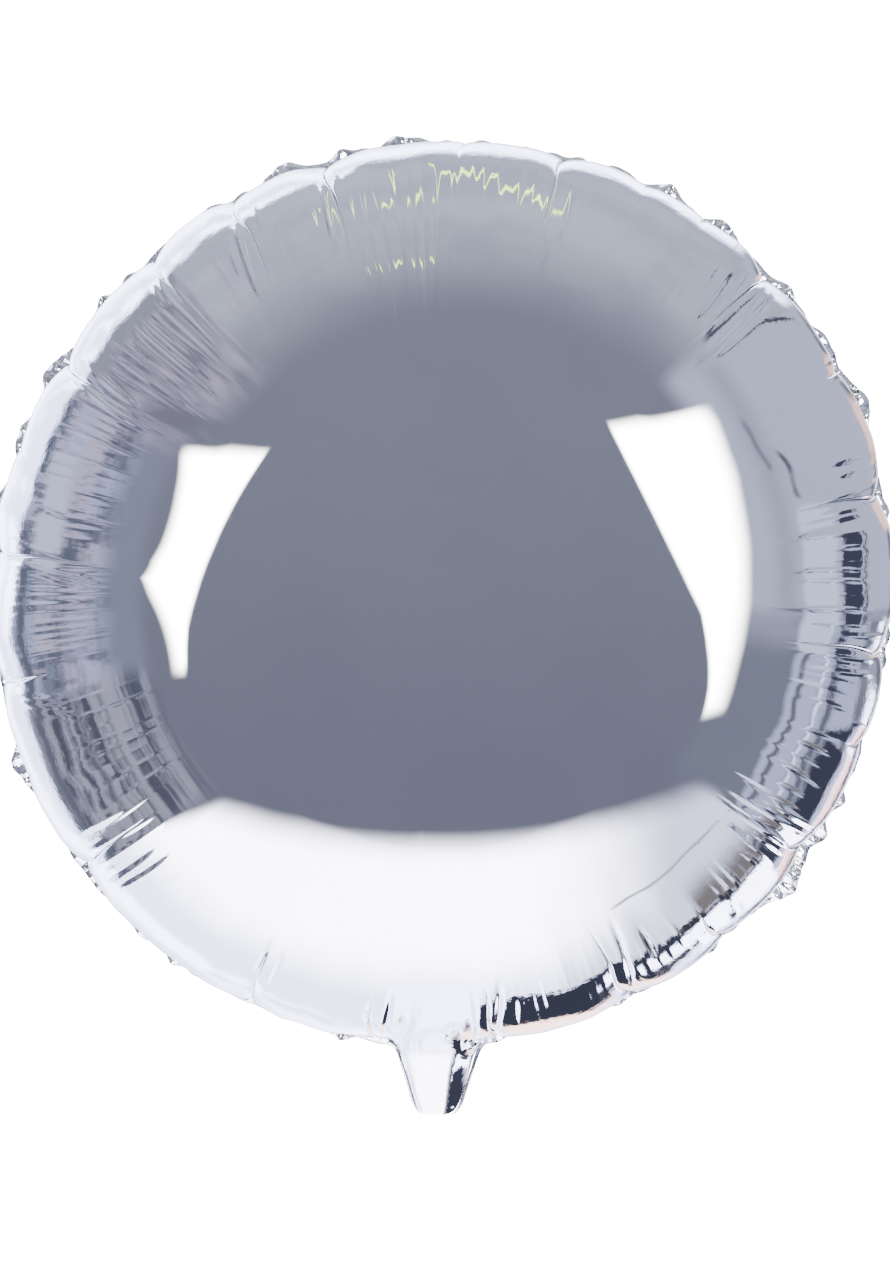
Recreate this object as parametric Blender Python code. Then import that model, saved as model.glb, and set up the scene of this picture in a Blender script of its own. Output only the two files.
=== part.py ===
"""Round foil balloon of the 18 inch stock size, filled and afloat.

Two foil panels, each a flat disc with a short neck, are sealed together along their edge. Filled, the
discs take the shape of a flattened globe, and the rim puckers into lobes between creases. A valve of
two clear films lies in the neck, and its mouth is open at the neck's end.

The origin is the middle of the filled globe. The front panel faces -Y, and the neck points down.
Lengths are in metres, and azimuths are in degrees about Y, from +X towards +Z.
"""

from math import asin, atan2, cos, degrees, pi, radians, sin, sqrt

import bmesh
import bpy
from mathutils import Vector

# Driving dimensions.
FLAT_DIAMETER = 0.457
FILLED_SHARE = 0.7627
LOBE_RISE = 0.0032
WALL = 0.001
SEAL_THICKNESS = 0.001
SEAL_WIDTH = 0.004
SEAL_LAP = 0.001
JOINT_GAP = 0.0003

# The filled globe: its radius at the crests of the lobes, and the radius that sets its depth.
GLOBE_RADIUS = FLAT_DIAMETER / 2 * FILLED_SHARE
CREST_RADIUS = GLOBE_RADIUS + LOBE_RISE
PANEL_STEP = SEAL_THICKNESS / 2 + JOINT_GAP

# The creases between the lobes: azimuth, and depth as a share of the deepest.
CREASES = (
    (-82.7, 0.8), (-64.4, 1.0), (-50.1, 0.6), (-33.4, 1.0), (-19.4, 0.45), (-7.6, 1.0),
    (13.0, 1.0), (30.1, 0.6), (44.7, 1.0), (54.8, 0.4), (63.1, 0.4), (74.1, 1.0),
    (87.0, 0.4), (105.2, 1.0), (117.9, 0.9), (130.6, 1.0), (148.0, 1.0), (161.0, 0.35),
    (174.4, 0.7), (191.4, 0.7), (204.0, 0.3), (217.1, 0.9), (234.1, 0.35), (244.8, 0.6),
    (261.1, 0.8),
)
CREASE_DEPTH = 0.0050
CREASE_START_TILT = 20.0
CREASE_FULL_TILT = 52.0
LOBE_STEP = 4.0

# The neck: its place, how far it reaches past the globe, and the spread of its flanks.
NECK_AZIMUTH = -90.8
NECK_REACH = 0.0315
NECK_SPREAD = 3.1
MOUTH_DROP = 0.207
NECK_ROOT_DEPTH = 0.014
NECK_MOUTH_DEPTH = 0.0052
NECK_TAPER_END = 0.1945
NECK_STRETCH_TILT = 38.0
NECK_SEAL_WIDTH = 0.0025
NECK_FLAT_SHARE = 0.5
NECK_OFFSETS = (0.0, 0.75, 1.2)
FLANK_OFFSETS = (2.0, 2.5, 3.1, 3.8, 4.7, 5.8)

# The valve: half width and outer half depth at stations from its mouth up into the globe.
VALVE_WALL = 0.0006
VALVE_STATIONS = (
    (0.0010, 0.0043, 0.0039),
    (0.0080, 0.0054, 0.0040),
    (0.0160, 0.0066, 0.0038),
    (0.0260, 0.0080, 0.0022),
    (0.0360, 0.0088, 0.0010),
    (0.0480, 0.0092, 0.0009),
)
VALVE_POINTS = 9

RING_COUNT = 11
SIMPSON_STEPS = 40
UNION_POWER = 3
ROUNDING_POWER = 3

FOIL_COLOUR = (0.86, 0.87, 0.90, 1.0)
SEAL_COLOUR = (0.80, 0.81, 0.84, 1.0)
VALVE_COLOUR = (0.88, 0.91, 0.93, 1.0)


def clear_scene():
    """Remove every object that the scene starts with."""
    for thing in list(bpy.data.objects):
        bpy.data.objects.remove(thing, do_unlink=True)


def make_material(name, colour, metallic, roughness):
    """A Principled material of one colour."""
    material = bpy.data.materials.new(name)
    material.use_nodes = True
    shader = material.node_tree.nodes["Principled BSDF"]
    shader.inputs["Base Color"].default_value = colour
    shader.inputs["Metallic"].default_value = metallic
    shader.inputs["Roughness"].default_value = roughness
    return material


def add_object(name, mesh_maker, material):
    """Link a new object whose mesh is made from a filled bmesh."""
    mesh = bpy.data.meshes.new(name)
    mesh_maker.to_mesh(mesh)
    mesh_maker.free()
    mesh.shade_smooth()
    mesh.set_sharp_from_angle(angle=radians(40))
    mesh.materials.append(material)
    thing = bpy.data.objects.new(name, mesh)
    bpy.context.scene.collection.objects.link(thing)
    return thing


def smooth_step(low, high, value):
    """Zero below low and one above high, with a soft rise between."""
    share = min(1.0, max(0.0, (value - low) / (high - low)))
    return share * share * (3 - 2 * share)


def globe_depth(tilt):
    """Half depth of the filled globe where its film leans by tilt, in radians, from the disc's plane.

    A filled disc of film that doesn't stretch has radius R sqrt(sin t) there, and half depth
    R/2 times the integral of sqrt(sin t) from there to the rim.
    """
    step = (pi / 2 - tilt) / SIMPSON_STEPS
    total = 0.0
    for index in range(SIMPSON_STEPS + 1):
        weight = 1 if index in (0, SIMPSON_STEPS) else 4 if index % 2 else 2
        total += weight * sqrt(max(0.0, sin(tilt + index * step)))
    return GLOBE_RADIUS / 2 * total * step / 3


def neck_offset(azimuth):
    """Angle from the neck's middle, between -180 and 180 degrees."""
    return (azimuth - NECK_AZIMUTH + 180) % 360 - 180


def neck_bell(offset):
    """How much of the neck's reach its outline has at an angle from its middle."""
    return 1 / (1 + (offset / NECK_SPREAD) ** 4)


def flank_offset(reach):
    """Angle of the neck's outline from its middle at a distance from the origin."""
    past_globe = max(reach - CREST_RADIUS, 1e-5)
    return NECK_SPREAD * max(NECK_REACH / past_globe - 1, 1e-4) ** 0.25


MOUTH_CORNER = flank_offset(MOUTH_DROP)


def outline_radius(azimuth):
    """Radius of a panel's edge, before the creases draw it in."""
    offset = neck_offset(azimuth)
    if abs(offset) <= MOUTH_CORNER:
        return MOUTH_DROP / cos(radians(offset))
    return CREST_RADIUS + NECK_REACH * neck_bell(offset)


def crease_share(azimuth):
    """Zero at a lobe's crest, and at a crease that crease's own share, with a sharp valley there."""
    places = [(place % 360, share) for place, share in CREASES]
    places.sort()
    before = max((p for p in places if p[0] <= azimuth % 360), default=(places[-1][0] - 360, places[-1][1]))
    after = min((p for p in places if p[0] > azimuth % 360), default=(places[0][0] + 360, places[0][1]))
    across = 2 * (azimuth % 360 - before[0]) / (after[0] - before[0]) - 1
    share = before[1] if across < 0 else after[1]
    return share * across * across


def crease_depth(tilt, azimuth):
    """How far the film is drawn in, along its own normal."""
    rise = smooth_step(radians(CREASE_START_TILT), radians(CREASE_FULL_TILT), tilt)
    return CREASE_DEPTH * rise * crease_share(azimuth) * (1 - neck_bell(neck_offset(azimuth)))


def rounded(share):
    """A lip's section: flat in the middle, rounded down to zero at a share of one."""
    past_flat = max(0.0, abs(share) - NECK_FLAT_SHARE) / (1 - NECK_FLAT_SHARE)
    return max(0.0, 1 - past_flat**ROUNDING_POWER) ** (1 / ROUNDING_POWER)


def neck_depth(reach, offset):
    """Half depth of the neck at a distance from the origin."""
    taper = smooth_step(CREST_RADIUS - LOBE_RISE, NECK_TAPER_END, reach)
    depth = NECK_ROOT_DEPTH + (NECK_MOUTH_DEPTH - NECK_ROOT_DEPTH) * taper
    return depth * rounded(min(1.0, abs(offset) / flank_offset(reach)))


def film_point(tilt, azimuth):
    """(x, z, half depth) on a panel's outer face."""
    stretch = smooth_step(radians(NECK_STRETCH_TILT), pi / 2, tilt)
    reach = sqrt(sin(tilt)) * CREST_RADIUS + (outline_radius(azimuth) - CREST_RADIUS) * stretch
    share = min(1.0, (reach / CREST_RADIUS) ** 2)
    depth = globe_depth(asin(share))
    offset = neck_offset(azimuth)
    if stretch > 0 and abs(offset) < flank_offset(reach):
        lip = neck_depth(reach, offset) * min(1.0, 3 * stretch)
        depth = (depth**UNION_POWER + lip**UNION_POWER) ** (1 / UNION_POWER)
    drawn_in = crease_depth(tilt, azimuth)
    radius = reach - drawn_in * sin(tilt)
    angle = radians(azimuth)
    return radius * cos(angle), radius * sin(angle), max(0.0, depth - drawn_in * cos(tilt))


def spoke_azimuths():
    """Azimuths of the panel's spokes: at each crease, evenly across each lobe, and closer on the neck."""
    places = sorted(place for place, share in CREASES)
    azimuths = []
    for place, following in zip(places, places[1:] + [places[0] + 360]):
        if abs(neck_offset((place + following) / 2)) < NECK_SPREAD:
            azimuths.append(place)
            continue
        count = max(2, round((following - place) / LOBE_STEP))
        azimuths += [place + (following - place) * index / count for index in range(count)]
    offsets = sorted({*NECK_OFFSETS, MOUTH_CORNER, *FLANK_OFFSETS})
    azimuths += [NECK_AZIMUTH % 360 + side * offset for offset in offsets for side in ((1, -1) if offset else (1,))]
    return sorted(azimuth % 360 for azimuth in azimuths)


def ring_tilts():
    """Tilts of the film at the panel's rings, from near the middle to the rim."""
    return [pi / 2 * (index + 1) / RING_COUNT for index in range(RING_COUNT)]


def make_panel(name, side, material):
    """One foil panel, with its half of the neck. Side is -1 for the front and 1 for the back."""
    maker = bmesh.new()
    azimuths = spoke_azimuths()
    middle = maker.verts.new((0, side * (globe_depth(0) + PANEL_STEP), 0))
    inner_ring = [middle] * len(azimuths)
    for tilt in ring_tilts():
        ring = []
        for azimuth in azimuths:
            x, z, depth = film_point(tilt, azimuth)
            ring.append(maker.verts.new((x, side * (depth + PANEL_STEP), z)))
        for index in range(len(azimuths)):
            following = (index + 1) % len(azimuths)
            corners = [inner_ring[index], inner_ring[following], ring[following], ring[index]]
            maker.faces.new(list(dict.fromkeys(corners)))
        inner_ring = ring
    bmesh.ops.recalc_face_normals(maker, faces=maker.faces)
    if max(maker.faces, key=lambda face: side * face.calc_center_median().y).normal.y * side < 0:
        bmesh.ops.reverse_faces(maker, faces=maker.faces)
    panel = add_object(name, maker, material)
    wall = panel.modifiers.new("wall", "SOLIDIFY")
    wall.thickness = WALL
    wall.offset = -1
    return panel


def rim_outline():
    """(x, z, neck share) along the sealed edge, from one corner of the mouth round to the other."""
    azimuths = [azimuth for azimuth in spoke_azimuths() if abs(neck_offset(azimuth)) > MOUTH_CORNER - 0.01]
    azimuths.sort(key=lambda azimuth: neck_offset(azimuth) % 360)
    points = []
    for azimuth in azimuths:
        x, z, _ = film_point(pi / 2, azimuth)
        points.append((x, z, neck_bell(neck_offset(azimuth))))
    return points


def make_edge_seal(material):
    """The flat band where the two panels are sealed together, all round the globe and down the neck."""
    points = rim_outline()
    maker = bmesh.new()
    sections = []
    for index, (x, z, neck_share) in enumerate(points):
        before = points[max(index - 1, 0)]
        after = points[min(index + 1, len(points) - 1)]
        along = Vector((after[0] - before[0], after[1] - before[1])).normalized()
        outward = Vector((along.y, -along.x))
        width = SEAL_WIDTH + (NECK_SEAL_WIDTH - SEAL_WIDTH) * min(1.0, 2 * neck_share)
        inner = Vector((x, z)) - outward * SEAL_LAP
        outer = Vector((x, z)) + outward * width
        if index in (0, len(points) - 1):
            inner.y = outer.y = z
        half = SEAL_THICKNESS / 2
        corners = ((inner, -half), (outer, -half), (outer, half), (inner, half))
        sections.append([maker.verts.new((corner.x, depth, corner.y)) for corner, depth in corners])
    for section, following in zip(sections, sections[1:]):
        for index in range(4):
            after = (index + 1) % 4
            maker.faces.new((section[index], section[after], following[after], following[index]))
    maker.faces.new(sections[0])
    maker.faces.new(sections[-1])
    bmesh.ops.recalc_face_normals(maker, faces=maker.faces)
    return add_object("edge_seal", maker, material)


def valve_section(half_width, half_depth, wall):
    """(x, half depth) across one valve film, along its outer face and back along its inner face."""
    across = [-cos(pi * index / (VALVE_POINTS - 1)) for index in range(VALVE_POINTS)]
    bulge = half_depth - wall - JOINT_GAP / 2
    rise = [max(0.0, 1 - abs(share) ** ROUNDING_POWER) ** (1 / ROUNDING_POWER) for share in across]
    inner = [(half_width * share, JOINT_GAP / 2 + bulge * lift) for share, lift in zip(across, rise)]
    outer = [(x, depth + wall) for x, depth in inner]
    return outer + inner[::-1]


def make_valve_film(name, side, material):
    """One film of the valve, from just inside the neck's mouth up into the globe."""
    maker = bmesh.new()
    neck_x = MOUTH_DROP * cos(radians(NECK_AZIMUTH))
    rings = []
    for height, half_width, half_depth in VALVE_STATIONS:
        section = valve_section(half_width, half_depth, VALVE_WALL)
        z = height - MOUTH_DROP
        rings.append([maker.verts.new((neck_x * z / -MOUTH_DROP + x, side * depth, z)) for x, depth in section])
    for ring, following in zip(rings, rings[1:]):
        for index in range(len(ring)):
            after = (index + 1) % len(ring)
            maker.faces.new((ring[index], ring[after], following[after], following[index]))
    for ring in (rings[0], rings[-1]):
        for index in range(VALVE_POINTS - 1):
            maker.faces.new((ring[index], ring[index + 1], ring[-2 - index], ring[-1 - index]))
    bmesh.ops.recalc_face_normals(maker, faces=maker.faces)
    return add_object(name, maker, material)


def build():
    """Make every piece of the balloon."""
    clear_scene()
    foil = make_material("silver_foil", FOIL_COLOUR, 1.0, 0.06)
    sealed_foil = make_material("sealed_foil", SEAL_COLOUR, 1.0, 0.2)
    clear_film = make_material("clear_film", VALVE_COLOUR, 0.0, 0.15)
    make_panel("front_panel", -1, foil)
    make_panel("back_panel", 1, foil)
    make_edge_seal(sealed_foil)
    make_valve_film("valve_front_film", -1, clear_film)
    make_valve_film("valve_back_film", 1, clear_film)


build()
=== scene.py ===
"""The looks of the round foil balloon: creased mirror foil, a crinkled sealed edge and the valve's films."""

from functools import lru_cache, partialmethod
from math import cos, pi, radians, sin

import bpy
import numpy as np
from bpy.props import FloatProperty, FloatVectorProperty, PointerProperty
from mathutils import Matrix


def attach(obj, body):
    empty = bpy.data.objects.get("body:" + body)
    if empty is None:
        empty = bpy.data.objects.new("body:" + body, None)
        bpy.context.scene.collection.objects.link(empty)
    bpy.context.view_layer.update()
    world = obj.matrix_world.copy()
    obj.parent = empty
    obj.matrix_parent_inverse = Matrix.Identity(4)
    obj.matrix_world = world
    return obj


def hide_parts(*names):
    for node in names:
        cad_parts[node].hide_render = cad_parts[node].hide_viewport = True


bl_info = {
    "name": "Round Foil Balloon",
    "version": (1, 0, 0),
    "blender": (4, 5, 0),
    "location": "View3D > Sidebar > Foil Balloon",
    "description": "Makes a filled round foil balloon with its creases, sealed edge and valve",
    "category": "Add Mesh",
}

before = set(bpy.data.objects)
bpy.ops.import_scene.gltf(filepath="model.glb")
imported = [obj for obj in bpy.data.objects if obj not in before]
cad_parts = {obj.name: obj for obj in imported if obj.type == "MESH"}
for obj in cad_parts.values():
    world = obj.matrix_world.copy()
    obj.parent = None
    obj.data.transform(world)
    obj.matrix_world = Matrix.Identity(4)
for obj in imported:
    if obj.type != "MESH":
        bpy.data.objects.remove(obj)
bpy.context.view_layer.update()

# The creases between the lobes: azimuth in degrees about Y from +X towards +Z, depth as a share, and the
# film's tilt in degrees where each one starts.
CREASES = (
    (-82.7, 0.55, 46), (-64.4, 0.70, 40), (-50.1, 0.50, 54), (-34.8, 1.00, 36), (-19.4, 0.45, 62),
    (-7.6, 1.00, 36), (13.0, 1.00, 40), (29.6, 0.50, 62), (44.7, 1.00, 34), (54.8, 0.25, 68),
    (63.1, 0.30, 68), (74.1, 0.80, 36), (87.0, 0.40, 60), (105.2, 1.00, 31), (117.9, 0.60, 36),
    (130.6, 0.90, 46), (148.3, 0.80, 38), (161.0, 0.20, 66), (174.4, 0.60, 34), (191.4, 0.60, 50),
    (204.0, 0.15, 68), (217.1, 0.90, 40), (234.1, 0.15, 68), (244.8, 0.50, 48), (261.1, 0.50, 50),
)

# Small folds beside the creases: azimuth at the outer and at the inner end, the film's tilt at each end, and
# height and half width in millimetres.
FOLDS = (
    (11.4, 11.0, 68, 42, 0.39, 0.9), (14.3, 12.6, 74, 41, 0.51, 0.8), (15.6, 15.2, 69, 50, -0.54, 0.8),
    (17.3, 17.0, 69, 50, -0.61, 0.9), (-6.0, -6.8, 70, 46, 0.3, 0.8), (-9.3, -10.0, 66, 34, 0.45, 0.9),
    (-11.2, -12.2, 64, 40, 0.39, 0.9), (-18.4, -17.9, 74, 60, 0.36, 0.8), (-32.6, -33.4, 72, 42, 0.54, 1.0),
    (-34.0, -35.2, 68, 34, 0.6, 0.9), (-36.4, -37.6, 66, 35, 0.6, 1.0), (-38.0, -38.8, 62, 38, 0.45, 0.9),
    (28.2, 28.4, 78, 63, -0.36, 0.8), (30.8, 30.6, 78, 64, -0.36, 0.8), (46.4, 44.6, 66, 36, 0.51, 0.9),
    (43.2, 41.8, 66, 30, -0.54, 0.9), (41.8, 40.6, 65, 35, -0.51, 0.9), (48.2, 47.0, 58, 36, 0.21, 0.9),
    (50.2, 49.2, 56, 42, 0.12, 0.9), (52.0, 51.0, 52, 38, 0.08, 0.9), (63.4, 63.2, 80, 70, 0.3, 0.8),
    (72.4, 71.4, 58, 36, 0.27, 0.8), (75.4, 74.6, 62, 40, 0.3, 0.9), (73.6, 73.0, 40, 30, 0.33, 1.0),
    (86.0, 85.7, 72, 44, 0.1, 0.9), (88.6, 88.4, 66, 40, 0.1, 0.9), (104.2, 105.6, 72, 50, 0.43, 0.9),
    (106.8, 108.0, 58, 33, 0.57, 0.9), (109.4, 109.8, 50, 34, 0.14, 0.9), (119.7, 122.6, 56, 31, 0.65, 0.9),
    (116.6, 116.8, 66, 46, 0.3, 0.9), (121.6, 123.4, 52, 38, 0.17, 0.9), (132.0, 133.8, 66, 46, 0.52, 0.9),
    (133.4, 134.8, 60, 48, 0.43, 0.9), (147.2, 149.6, 64, 35, 0.36, 0.9), (150.2, 152.4, 60, 31, 0.39, 0.9),
    (168.4, 169.6, 52, 41, 0.36, 0.8), (173.2, 175.2, 66, 42, 0.33, 0.9), (176.2, 179.2, 58, 31, 0.45, 0.9),
    (177.6, 180.2, 50, 32, 0.27, 0.9), (190.0, 193.2, 76, 55, 0.51, 0.8), (192.6, 196.4, 70, 46, 0.57, 0.9),
    (194.6, 197.6, 64, 44, 0.45, 0.9), (196.8, 199.0, 56, 42, 0.3, 0.9), (216.0, 218.2, 70, 35, 0.26, 0.8),
    (218.4, 219.8, 68, 37, 0.34, 0.8), (220.6, 221.6, 66, 43, -0.5, 0.9), (222.2, 223.8, 60, 41, -0.5, 0.9),
    (213.6, 214.8, 60, 40, 0.16, 0.9), (225.4, 228.2, 54, 42, -0.1, 0.8), (243.7, 243.7, 57, 43, -0.8, 1.1),
    (246.2, 246.2, 60, 44, -0.7, 1.0), (259.4, 260.0, 62, 52, -0.5, 1.0), (262.2, 262.6, 74, 48, -0.6, 1.0),
    (276.2, 278.2, 72, 44, -0.8, 1.1), (279.4, 279.8, 64, 52, -0.5, 0.9), (295.2, 296.9, 70, 38, -0.8, 1.0),
    (297.2, 296.2, 64, 46, 0.45, 0.9), (300.0, 300.0, 57, 45, -0.7, 0.9), (308.2, 308.6, 76, 58, 0.39, 0.8),
    (311.2, 313.0, 74, 54, 0.39, 0.9), (321.6, 321.2, 62, 37, -0.51, 0.9), (323.2, 323.4, 66, 35, 0.54, 0.9),
)

# Fine ripples across a lobe: azimuths of its ends and period in degrees, height in millimetres, the film's
# tilts in degrees between which they run, and how narrow their crests are.
RIPPLES = (
    (-6.5, 12.0, 1.9, 0.56, 37, 61, 1.6), (-6.5, 12.0, 1.9, 0.10, 56, 74, 1.0),
    (-19.0, -8.5, 2.3, 0.36, 40, 60, 2.0), (-34.0, -20.0, 2.5, -0.60, 38, 60, 2.0),
    (-33.0, -20.0, 2.5, 0.12, 54, 70, 1.0), (-48.5, -38.5, 1.55, 0.42, 43, 62, 1.4),
    (-63.5, -51.0, 1.7, 0.32, 50, 68, 1.2), (-82.0, -65.2, 1.2, 0.15, 44, 72, 0.8),
    (46.0, 54.0, 1.9, 0.10, 34, 56, 1.0), (75.0, 86.5, 2.2, 0.32, 42, 68, 0.8),
    (87.5, 104.5, 2.2, 0.30, 20, 62, 0.8), (106.0, 117.5, 2.4, 0.08, 30, 60, 1.0),
    (119.0, 130.0, 2.1, 0.08, 34, 60, 1.0), (131.5, 147.5, 1.6, 0.26, 29, 57, 1.4),
    (149.5, 173.5, 1.5, 0.14, 32, 60, 1.4), (175.5, 190.5, 1.15, 0.13, 32, 69, 1.2),
    (196.0, 216.0, 2.3, 0.16, 28, 50, 2.0),
)

# Where the sealed edge stands out between the lobes: azimuth, spread in degrees and extra width in metres.
EDGE_FLAPS = (
    (95.5, 2.6, 0.0036), (103.0, 1.6, 0.0022), (111.0, 2.4, 0.0040), (122.0, 1.8, 0.0022),
    (139.5, 1.8, 0.0024), (151.0, 2.2, 0.0042), (159.5, 2.0, 0.0040), (168.0, 3.0, 0.0028),
    (203.0, 2.6, 0.0044), (234.0, 1.0, 0.0024), (257.0, 1.4, 0.0034), (319.5, 3.8, 0.0066),
    (327.0, 1.6, 0.0040), (332.5, 1.2, 0.0034), (-24.0, 1.2, 0.0022), (24.5, 3.4, 0.0050),
    (33.0, 3.0, 0.0026), (41.5, 1.8, 0.0034), (52.0, 2.2, 0.0046), (60.5, 2.2, 0.0054), (67.5, 1.6, 0.0030),
)


# The foil's own colour, which tints all that it mirrors.
FOIL_COLOUR = (0.90, 0.905, 0.925)


class FoilSizes(bpy.types.PropertyGroup):
    """Sizes and colours of the foil."""

    flat_diameter: FloatProperty(
        name="Flat diameter", description="Diameter of each panel before the balloon is filled",
        default=0.457, min=0.1, max=2.0, unit="LENGTH")
    bulge: FloatProperty(
        name="Rim bulge", description="How far the film bulges past a smooth globe near its rim",
        default=0.0026, min=0.0, max=0.02, unit="LENGTH")
    groove: FloatProperty(
        name="Seam groove", description="How deep the seam lies between the two panels' lobes",
        default=0.0052, min=0.0, max=0.02, unit="LENGTH")
    lobe_height: FloatProperty(
        name="Lobe height", description="How far a lobe's middle stands above its creases",
        default=0.0042, min=0.0, max=0.02, unit="LENGTH")
    neck_reach: FloatProperty(
        name="Neck reach", description="How far the neck reaches below the globe",
        default=0.0315, min=0.01, max=0.08, unit="LENGTH")
    neck_spread: FloatProperty(
        name="Neck spread", description="Angle over which the neck's flanks run out, in degrees",
        default=3.4, min=1.0, max=8.0)
    mouth_drop: FloatProperty(
        name="Mouth drop", description="Distance from the globe's middle to the neck's mouth",
        default=0.207, min=0.1, max=0.5, unit="LENGTH")
    foil_colour: FloatVectorProperty(
        name="Foil", description="Colour of the mirror foil", subtype="COLOR", size=3,
        default=FOIL_COLOUR, min=0.0, max=1.0)
    foil_roughness: FloatProperty(
        name="Foil roughness", description="How far the foil blurs what it mirrors",
        default=0.012, min=0.0, max=1.0, subtype="FACTOR")


class EdgeSizes(bpy.types.PropertyGroup):
    """Sizes and colours of the heat-sealed edge and of the valve."""

    neck_width: FloatProperty(
        name="Neck edge width", description="Width of the sealed edge down the neck",
        default=0.0025, min=0.001, max=0.02, unit="LENGTH")
    thickness: FloatProperty(
        name="Edge thickness", description="Thickness of the two films sealed together",
        default=0.00016, min=0.00005, max=0.002, unit="LENGTH")
    valve_thickness: FloatProperty(
        name="Valve thickness", description="Thickness of each of the valve's clear films",
        default=0.00006, min=0.00002, max=0.002, unit="LENGTH")
    edge_colour: FloatVectorProperty(
        name="Sealed foil", description="Colour of the sealed foil", subtype="COLOR", size=3,
        default=(0.86, 0.865, 0.88), min=0.0, max=1.0)
    valve_colour: FloatVectorProperty(
        name="Valve film", description="Colour of the valve's clear film", subtype="COLOR", size=3,
        default=(0.86, 0.9, 0.93), min=0.0, max=1.0)


class StageSizes(bpy.types.PropertyGroup):
    """Sizes of the studio and of the camera's place."""

    camera_distance: FloatProperty(
        name="Camera distance", description="Distance from the camera to the balloon's middle",
        default=1.6, min=0.5, max=10.0, unit="LENGTH")
    camera_drop: FloatProperty(
        name="Camera drop", description="How far the camera is below the balloon's middle",
        default=0.0158, min=-1.0, max=1.0, unit="LENGTH")
    frame_height: FloatProperty(
        name="Frame height", description="Height that the camera sees at the balloon's middle",
        default=0.4934, min=0.1, max=5.0, unit="LENGTH")
    floor_drop: FloatProperty(
        name="Floor drop", description="How far the floor is below the balloon's middle",
        default=2.6, min=0.3, max=5.0, unit="LENGTH")
    floor_radius: FloatProperty(
        name="Floor radius", description="Radius of the round floor",
        default=3.5, min=0.5, max=10.0, unit="LENGTH")


# The film's shape. Lengths are in metres. An offset is an angle in degrees from the neck's middle, and an
# azimuth is in radians, or in degrees where it is called turned.

FINE_SPOKES = 1960
FINE_RINGS = 50
EDGE_STEPS = 1900
# A filled disc's width as a share of its flat width, and the share of the spare film that is pleated.
FILLED_SHARE = 0.7627
PLEATED_SHARE = 0.7
# How far the seam wanders to the front and back.
SEAM_SWAY = 0.0011
# The neck: its azimuth, and the film's tilt from which it runs out.
NECK_AZIMUTH = -90.8
NECK_STRETCH_TILT = 38.0
# Half the neck's depth at its mouth, how that grows upwards, and over what height.
NECK_MOUTH_DEPTH = 0.0046
NECK_FRONT_SLOPE = 0.48
NECK_FRONT_FLARE = 2.5
NECK_HEIGHT = 0.034
# The ridge, the steep fall beside it, and the hem where that ends, in shares of the neck's half width.
NECK_RIDGE = 0.36
NECK_FACET_SLOPE = 1.7
NECK_FACET_LIMIT = 0.9
NECK_HEM = 0.40
NECK_HEM_RISE = 8.5
# How far the globe's outline is carried out at the neck's root, how far from the seam the neck's halves start
# to round in, and the widest angle that the neck's root takes up.
NECK_ROOT_SHIFT = 0.003
NECK_SEAM_ROUND = 0.004
NECK_WIDEST = 11.0


def foil_sizes():
    """The foil's sizes, from the scene."""
    return bpy.context.scene.foil_balloon_foil


def smooth_step(low, high, value):
    """Zero below low and one above high, with a soft rise between."""
    share = np.clip((value - low) / (high - low), 0.0, 1.0)
    return share * share * (3 - 2 * share)


@lru_cache(maxsize=None)
def profile_tables():
    """Tilt, length along the film from the middle, radius and half depth of a filled disc of film."""
    globe = foil_sizes().flat_diameter / 2 * FILLED_SHARE
    tilt = np.linspace(0, pi / 2, 4001)
    root = np.sqrt(tilt)
    slope = 2 * root / np.sqrt(np.maximum(np.sin(tilt), 1e-12))
    slope[0] = 2.0
    lift = np.sqrt(np.sin(tilt))

    def summed(height, step):
        return globe / 2 * np.concatenate([[0], np.cumsum((height[1:] + height[:-1]) / 2 * np.diff(step))])

    depth = summed(lift, tilt)
    return tilt, summed(slope, root), globe * lift, depth[-1] - depth


def at_share(share):
    """Length, tilt, radius and half depth at a share of the film's length from middle to seam."""
    tilts, alongs, radii, depths = profile_tables()
    along = share * alongs[-1]
    tilt = np.interp(along, alongs, tilts)
    return along, tilt, np.interp(tilt, tilts, radii), np.interp(tilt, tilts, depths)


def sorted_creases():
    """The creases' azimuths in degrees, depths and starting tilts, in order round the rim."""
    return np.array(sorted((place % 360, share, start) for place, share, start in CREASES)).T


def lobe_place(turned):
    """Place across a lobe from -1 to 1, the nearer crease's depth, and the lobe's width in radians."""
    places, shares, _ = sorted_creases()
    turned = turned % 360
    index = np.searchsorted(places, turned, side="right") - 1
    following = (index + 1) % len(places)
    before = np.where(index < 0, places[-1] - 360, places[index])
    after = np.where(index + 1 >= len(places), places[0] + 360, places[following])
    across = 2 * (turned - before) / (after - before) - 1
    share = np.where(across < 0, shares[index], shares[following])
    return across, share, np.radians(after - before)


def crease_dip(share, across, beside):
    """How deep the film dips towards a crease, as a share of the lobe's height."""
    return share * (0.6 * np.abs(across) ** 2.2 + 0.4 * np.exp(-beside / 2.6))


def dip_at(azimuth):
    """How deep the seam dips between the lobes, as a share of their height."""
    across, share, width = lobe_place(np.degrees(azimuth))
    return crease_dip(share, across, (1 - np.abs(across)) * np.degrees(width) / 2)


def wavy(azimuth, first, last, seed):
    """An even random wave round the rim, from whole numbers of waves between first and last."""
    source = np.random.default_rng(seed)
    total = np.zeros_like(azimuth)
    for count in range(first, last):
        total += source.normal() * np.cos(count * azimuth + source.uniform(0, 2 * pi))
    return total / np.sqrt(last - first)


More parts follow.
